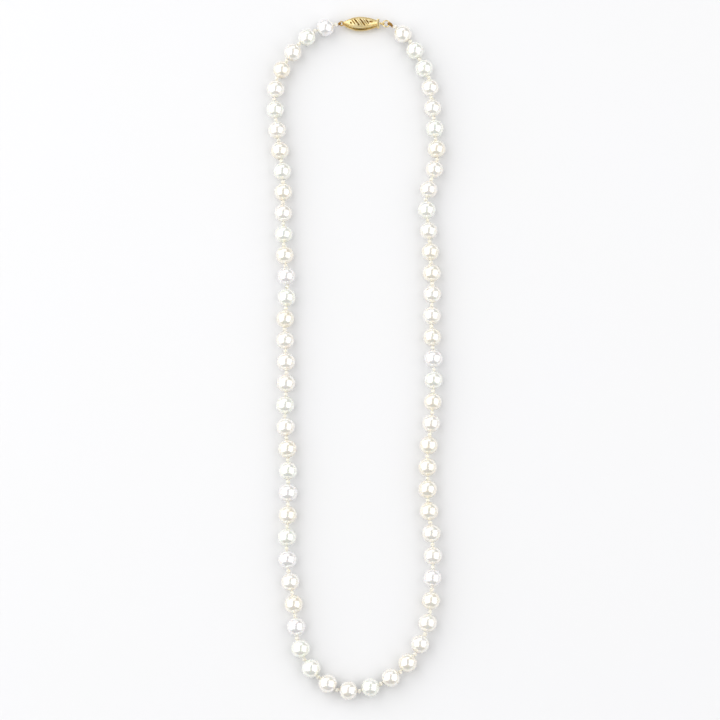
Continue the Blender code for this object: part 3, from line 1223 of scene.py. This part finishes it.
    def hook(self) -> None:
        """The flat tongue with its eye outside the case and its barb inside."""
        low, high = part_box("hook_tongue")
        eye_outer = (high.y - low.y) / 2.0
        eye_hole = eye_outer - self.eye_edge
        eye_x = low.x + eye_outer
        half_width = self.tongue_half_width
        top = high.z
        thickness = self.tongue_thickness
        y = (low.y + high.y) / 2.0
        join = math.asin(half_width / eye_outer)
        arc = 40
        outline = [
            (eye_x + eye_outer * math.cos(a), eye_outer * math.sin(a))
            for a in (
                join + (2.0 * math.pi - 2.0 * join) * i / arc for i in range(arc + 1)
            )
        ]
        outline += [(high.x, -half_width), (high.x, half_width)]
        hole = [(eye_x + x, y) for x, y in circle(eye_hole, arc)]
        tongue = stamped_plate("hook_flat_tongue", outline, [hole], thickness)
        tongue.matrix_world = Matrix.Translation((0.0, y, top - thickness / 2.0))
        self.dresser.finish(tongue, "SATIN", "hook", "gold", ["hook_tongue"])
        barb = rounded_block(
            "hook_barb",
            Vector((high.x - self.barb_length, y - half_width, low.z)),
            Vector((high.x, y + half_width, top - thickness * 0.5)),
            0.06 * MM,
        )
        self.dresser.finish(barb, "SATIN", "hook", "gold")

    def thumb_leaf(self) -> None:
        """The sprung leaf above the tongue with its turned-up thumb lip."""
        low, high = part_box("thumb_leaf")
        half_width = (high.y - low.y) / 2.0
        y = (low.y + high.y) / 2.0
        thick = self.leaf_thickness
        lip = self.leaf_lip
        outline = [
            (high.x, low.z),
            (high.x, low.z + thick),
            (low.x + lip + 0.15 * MM, low.z + thick),
            (low.x + lip, high.z),
            (low.x, high.z),
            (low.x + 0.10 * MM, low.z),
        ]
        leaf = stamped_plate("hook_thumb_leaf", outline, [], half_width * 2.0)
        leaf.matrix_world = Matrix.Translation((0.0, y, 0.0)) @ Matrix.Rotation(
            math.pi / 2.0, 4, "X"
        )
        self.dresser.finish(leaf, "MIRROR", "leaf", "gold", ["thumb_leaf"])

    def jump_ring(self) -> None:
        """A round wire ring with its cut end closed at the side."""
        low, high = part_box("jump_ring")
        centre = (low + high) / 2.0
        wire = (high.z - low.z) / 2.0
        radius = (high.x - low.x) / 2.0 - wire
        count = 72
        gap = math.radians(1.2)
        start = math.radians(62.0)
        path = []
        for i in range(count):
            angle = start + gap / 2.0 + (2.0 * math.pi - gap) * i / (count - 1)
            path.append(
                centre + Vector((radius * math.cos(angle), radius * math.sin(angle), 0.0))
            )
        skin = sweep(path, lambda i, angle: wire, 14, closed=False)
        piece = mesh_piece("jump_ring_wire", *skin)
        self.dresser.finish(piece, "MIRROR", "jump_ring", "gold", ["jump_ring"])

    def bullions(self) -> None:
        """The two loops of coiled wire, each with the silk end that it guards."""
        knots = strand_knots()
        first, last = knots[0], knots[-1]
        for node, knot, radius, half_height in (
            ("ring_bullion", first, 0.30 * MM, 0.70 * MM),
            ("hook_bullion", last, 0.23 * MM, 0.60 * MM),
        ):
            CoiledLoop(self.dresser, node, knot, radius, half_height).build(self.form)
        cord = SilkCord()
        rng = random.Random(5)
        along = (last - centre_of("pearl_67")).normalized()
        skin = cord.knot(last, along, rng)
        piece = mesh_piece("silk_end_knot", *skin)
        self.dresser.finish(piece, "SILK", "hook_bullion", "silk", ["end_knot"])


@dataclass
class CoiledLoop:
    """A loop of fine coiled wire that keeps the silk from wearing through on a ring."""

    dresser: Dresser
    node: str
    knot: Vector
    coil_radius: float
    half_height: float
    taper: float = 0.45  # how much lower the loop is at its knot
    rise_share: float = 0.8
    fine_wire: float = 0.055 * MM
    turn_pitch: float = 0.118 * MM
    points_per_turn: int = 10
    path_points: int = 240

    def centre_line(self, form: CaseForm) -> Ring:
        """The loop's closed centre line, read from its CAD box.

        Args:
            form: The case, which gives the height of the clasp's middle.

        Returns:
            The line.
        """
        low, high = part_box(self.node)
        toward = math.copysign(1.0, self.knot.x - (low.x + high.x) / 2.0)
        near, far = low.x + self.coil_radius, high.x - self.coil_radius
        if toward < 0.0:
            near, far = far, near
        rise = self.knot.z - form.middle_z
        drop = self.knot.y - form.y
        line: Ring = []
        for i in range(self.path_points):
            angle = 2.0 * math.pi * i / self.path_points
            along = (1.0 - math.cos(angle)) / 2.0
            lean = along**3
            height = self.half_height * math.sin(angle) * (1.0 - self.taper * along**2)
            line.append(
                Vector(
                    (
                        near + (far - near) * along,
                        form.y + drop * lean,
                        form.middle_z + height + rise * self.rise_share * lean,
                    )
                )
            )
        return line

    def build(self, form: CaseForm) -> None:
        """Make the coil and the short silk end between it and its knot.

        Args:
            form: The case, which gives the height of the clasp's middle.
        """
        line = self.centre_line(form)
        lengths = [(b - a).length for a, b in zip(line, [*line[1:], line[0]])]
        total = sum(lengths)
        turns = round(total / self.turn_pitch)
        count = turns * self.points_per_turn
        reach = self.coil_radius - self.fine_wire
        path: Ring = []
        spot, gone = 0, 0.0
        side = Vector((0.0, 1.0, 0.0))
        for i in range(count):
            want = total * i / count
            while gone + lengths[spot] < want:
                gone += lengths[spot]
                spot += 1
            after = line[(spot + 1) % len(line)]
            point = line[spot].lerp(after, (want - gone) / lengths[spot])
            tangent = (after - line[spot]).normalized()
            flat = (side - tangent * side.dot(tangent)).normalized()
            other = tangent.cross(flat)
            angle = 2.0 * math.pi * turns * i / count
            path.append(
                point + flat * (reach * math.cos(angle)) + other * (reach * math.sin(angle))
            )
        skin = sweep(path, lambda i, angle: self.fine_wire, 6, closed=True)
        coil = mesh_piece(f"{self.node}_coil", *skin)
        self.dresser.finish(coil, "COILED", self.node, "gilt_wire", [self.node])
        silk = SilkCord()
        tip = line[len(line) // 2]
        lining = sweep(line[::4], lambda i, angle: reach * 0.85, 8, closed=True)
        tail = silk.thread(tip, self.knot)
        piece = mesh_piece(f"{self.node}_silk", *join_skins([lining, tail]))
        self.dresser.finish(piece, "SILK", self.node, "silk")


BEVEL_ANGLE = math.radians(35.0)
SHARP_ANGLE = math.radians(40.0)


def soften(piece: bpy.types.Object, width: float) -> None:
    """Round a piece's sharp edges and shade it smooth.

    Args:
        piece: The object.
        width: Width of the rounding.
    """
    edge = piece.modifiers.new("soft_edges", "BEVEL")
    edge.width = width
    edge.segments = 2
    edge.limit_method = "ANGLE"
    edge.angle_limit = BEVEL_ANGLE
    apply_modifiers(piece)
    piece.data.shade_smooth()
    piece.data.set_sharp_from_angle(angle=SHARP_ANGLE)


def rounded_block(
    name: str, low: Vector, high: Vector, rounding: float
) -> bpy.types.Object:
    """Make a block with rounded edges.

    Args:
        name: The piece's name.
        low: Its lowest corner.
        high: Its highest corner.
        rounding: Radius of its edges.

    Returns:
        The block.
    """
    corners = [
        Vector((x, y, z))
        for x in (low.x, high.x)
        for y in (low.y, high.y)
        for z in (low.z, high.z)
    ]
    faces: Faces = [
        (0, 1, 3, 2),
        (4, 6, 7, 5),
        (0, 4, 5, 1),
        (2, 3, 7, 6),
        (0, 2, 6, 4),
        (1, 5, 7, 3),
    ]
    made = mesh_piece(name, corners, faces)
    edge = made.modifiers.new("rounding", "BEVEL")
    edge.width = rounding
    edge.segments = 4
    apply_modifiers(made)
    made.data.shade_smooth()
    made.data.set_sharp_from_angle(angle=SHARP_ANGLE)
    return made


def stamped_plate(
    name: str,
    outline: Sequence[tuple[float, float]],
    holes: Sequence[Sequence[tuple[float, float]]],
    thickness: float,
) -> bpy.types.Object:
    """A flat plate with round-over edges, stamped from sheet.

    Args:
        name: The piece's name.
        outline: Its closed outline.
        holes: Closed outlines of its holes.
        thickness: Its full thickness, centred on the outline's plane.

    Returns:
        The plate as a mesh.
    """
    rounding = 0.05 * MM
    data = bpy.data.curves.new(name, "CURVE")
    data.dimensions = "2D"
    data.fill_mode = "BOTH"
    data.extrude = thickness / 2.0 - rounding
    data.bevel_depth = rounding
    data.offset = -rounding
    data.bevel_resolution = 3
    for points in [outline, *holes]:
        spline = data.splines.new("POLY")
        spline.points.add(len(points) - 1)
        for target, (x, y) in zip(spline.points, points):
            target.co = (x, y, 0.0, 1.0)
        spline.use_cyclic_u = True
    source = add_object(name, data)
    mesh = evaluated_mesh(source)
    bpy.data.objects.remove(source, do_unlink=True)
    made = add_object(name, mesh)
    shell = bmesh.new()
    shell.from_mesh(mesh)
    bmesh.ops.remove_doubles(shell, verts=shell.verts, dist=0.002 * MM)
    shell.to_mesh(mesh)
    shell.free()
    mesh.shade_smooth()
    mesh.set_sharp_from_angle(angle=SHARP_ANGLE)
    return made


# ---- studio -------------------------------------------------------------------------
@dataclass(frozen=True)
class SoftBox:
    """A large rectangular light that looks at a point of the table.

    Its bearing is measured from +X round to +Y and its rise from the table.
    """

    name: str
    bearing: float
    rise: float
    distance: float
    size: tuple[float, float]
    brightness: float
    colour: str = "FFFFFF"

    def build(self, target: Vector) -> None:
        """Hang the light.

        Args:
            target: The point that it looks at.
        """
        data = bpy.data.lights.new(self.name, "AREA")
        data.shape = "RECTANGLE"
        data.size, data.size_y = self.size
        data.energy = self.brightness * math.pi * self.size[0] * self.size[1]
        data.color = linear(self.colour)[:3]
        made = add_object(self.name, data)
        bearing, rise = math.radians(self.bearing), math.radians(self.rise)
        away = Vector(
            (
                math.cos(rise) * math.cos(bearing),
                math.cos(rise) * math.sin(bearing),
                math.sin(rise),
            )
        )
        made.location = target + away * self.distance
        made.rotation_euler = away.to_track_quat("Z", "Y").to_euler()


@dataclass
class Studio:
    """White table, softboxes either side and a camera that looks steeply down."""

    table_size: float = 3.0
    table_top: float = -0.00005
    lean: float = math.radians(13.0)
    distance: float = 0.730
    lens: float = 122.7
    target: Vector = field(default_factory=lambda: Vector((0.00147, -0.00307, 0.0)))
    ambient: float = 0.38
    boxes: tuple[SoftBox, ...] = (
        SoftBox("softbox_left", 176.0, 41.0, 0.80, (1.40, 1.15), 1.52),
        SoftBox("softbox_right", -8.0, 42.0, 0.80, (1.20, 1.05), 1.26),
        SoftBox("softbox_back", 100.0, 35.0, 1.20, (1.30, 0.80), 0.92),
    )

    def build(self) -> None:
        """Set the table, the lights, the room and the camera."""
        half = self.table_size / 2.0
        corners = [
            (-half, -half, 0.0),
            (half, -half, 0.0),
            (half, half, 0.0),
            (-half, half, 0.0),
        ]
        table = mesh_piece("tabletop", corners, [(0, 1, 2, 3)])
        table.location = (0.0, 0.0, self.table_top)
        table.data.materials.append(Tabletop().build())
        for box in self.boxes:
            box.build(self.target)
        self.room()
        self.camera()

    def room(self) -> None:
        """A plain pale room."""
        world = bpy.data.worlds.new("pale_room")
        world.use_nodes = True
        bpy.context.scene.world = world
        back = world.node_tree.nodes["Background"]
        back.inputs["Color"].default_value = linear("FFFFFF")
        back.inputs["Strength"].default_value = self.ambient
        bpy.context.scene.view_settings.view_transform = "Standard"
        bpy.context.scene.view_settings.look = "None"

    def camera(self) -> None:
        """The camera, in front of the table and high above it."""
        data = bpy.data.cameras.new("camera")
        data.lens = self.lens
        data.sensor_width = 36.0
        data.clip_start = 0.01
        data.clip_end = 20.0
        made = add_object("camera", data)
        away = Vector((0.0, -math.sin(self.lean), math.cos(self.lean)))
        made.location = self.target + away * self.distance
        made.rotation_euler = away.to_track_quat("Z", "Y").to_euler()
        bpy.context.scene.camera = made


def main() -> None:
    """Build the necklace and its studio."""
    logging.basicConfig(level=logging.INFO, format="%(name)s: %(message)s")
    materials = {tone.name: Nacre(tone).build() for tone in Overtone}
    materials |= {polish.name: Gold(polish).build() for polish in Polish}
    materials["SILK"] = Silk().build()
    dresser = Dresser(materials)
    Studio().build()
    Clasp(dresser).build()
    Strand(dresser).build()


if __name__ == "__main__":
    main()
